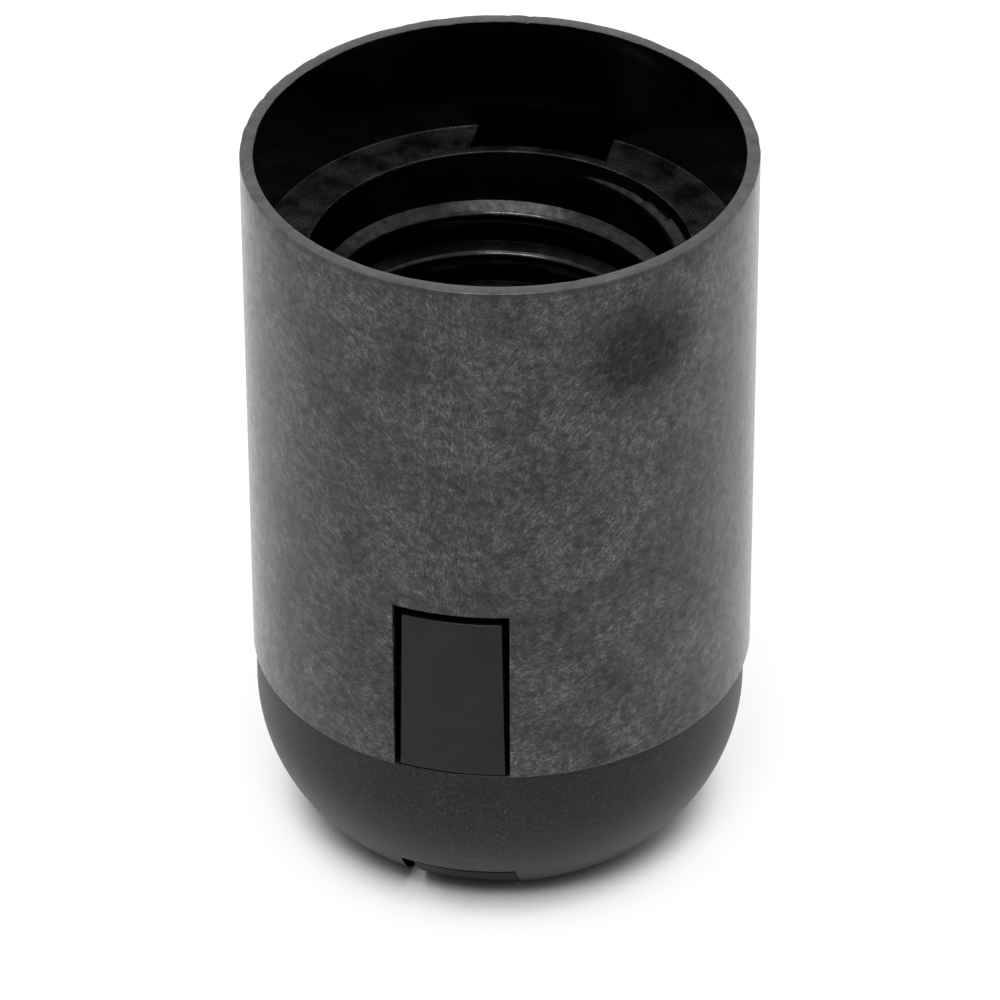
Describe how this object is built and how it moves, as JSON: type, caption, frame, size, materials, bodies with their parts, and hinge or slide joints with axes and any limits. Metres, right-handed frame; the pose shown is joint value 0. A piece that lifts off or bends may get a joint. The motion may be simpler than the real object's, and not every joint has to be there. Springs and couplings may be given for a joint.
{
  "type": "plastic lamp holder",
  "caption": "Screw-base lamp holder in black moulded plastic: a smooth sleeve with the lamp thread inside, a domed cap with a pipe inlet, and a snap-in contact carrier.",
  "frame": {"origin": "middle of the base face, where the pipe inlet opens", "axes": "+Z along the lamp's axis towards the mouth; -Y and +Y through the two latch windows; +X through the live terminal"},
  "size_m": [0.038, 0.038, 0.0579],
  "materials": {
    "sleeve_plastic": "moulded glass-fibre polyester, satin, with short fibre streaks",
    "cap_plastic": "moulded glass-fibre polyester, fine spark-eroded grain",
    "carrier_plastic": "moulded polyester, smooth",
    "strip_brass": "stamped brass strip",
    "contact_bronze": "rolled phosphor bronze",
    "rivet_brass": "drawn brass",
    "zinc_steel": "zinc-plated steel"
  },
  "bodies": {
    "holder": {"outer_sleeve": "sleeve_plastic", "dome_cap": "cap_plastic", "contact_carrier": "carrier_plastic", "live_terminal_strip": "strip_brass", "neutral_terminal_strip": "strip_brass", "live_strip_rivet": "rivet_brass", "neutral_strip_rivet": "rivet_brass"},
    "centre_contact": {"centre_contact_arm": "contact_bronze"},
    "shell_contact": {"shell_contact_arm": "contact_bronze"},
    "live_clamp": {"live_clamp_plate": "zinc_steel"},
    "live_screw": {"live_terminal_screw": "zinc_steel"},
    "neutral_clamp": {"neutral_clamp_plate": "zinc_steel"},
    "neutral_screw": {"neutral_terminal_screw": "zinc_steel"},
    "lock_screw": {"pipe_lock_screw": "zinc_steel"}
  },
  "joints": [
    {"name": "centre_contact_press", "type": "hinge", "parent": "holder", "child": "centre_contact", "pos_m": [0.0045, 0, 0.02345], "axis": [0, -1, 0], "range_deg": [0, 12], "stiffness_Nm_per_rad": 0.1},
    {"name": "shell_contact_press", "type": "hinge", "parent": "holder", "child": "shell_contact", "pos_m": [-0.01025, 0, 0.02337], "axis": [0, -1, 0], "range_deg": [0, 4], "stiffness_Nm_per_rad": 0.35},
    {"name": "live_clamp_travel", "type": "slide", "parent": "holder", "child": "live_clamp", "axis": [1, 0, 0], "range_m": [0, 0.002]},
    {"name": "live_screw_turn", "type": "hinge", "parent": "live_clamp", "child": "live_screw", "pos_m": [0.0125, 0, 0.0163], "axis": [1, 0, 0], "range_deg": [0, 1440]},
    {"name": "neutral_clamp_travel", "type": "slide", "parent": "holder", "child": "neutral_clamp", "axis": [-1, 0, 0], "range_m": [0, 0.002]},
    {"name": "neutral_screw_turn", "type": "hinge", "parent": "neutral_clamp", "child": "neutral_screw", "pos_m": [-0.0125, 0, 0.0163], "axis": [-1, 0, 0], "range_deg": [0, 1440]},
    {"name": "pipe_lock_travel", "type": "slide", "parent": "holder", "child": "lock_screw", "axis": [0.7071, 0, 0.7071], "range_m": [-0.0008, 0.0015]}
  ],
  "couplings": [
    {"joint": "live_screw_turn", "follows": "live_clamp_travel", "rad_per_m": 12566},
    {"joint": "neutral_screw_turn", "follows": "neutral_clamp_travel", "rad_per_m": 12566}
  ]
}
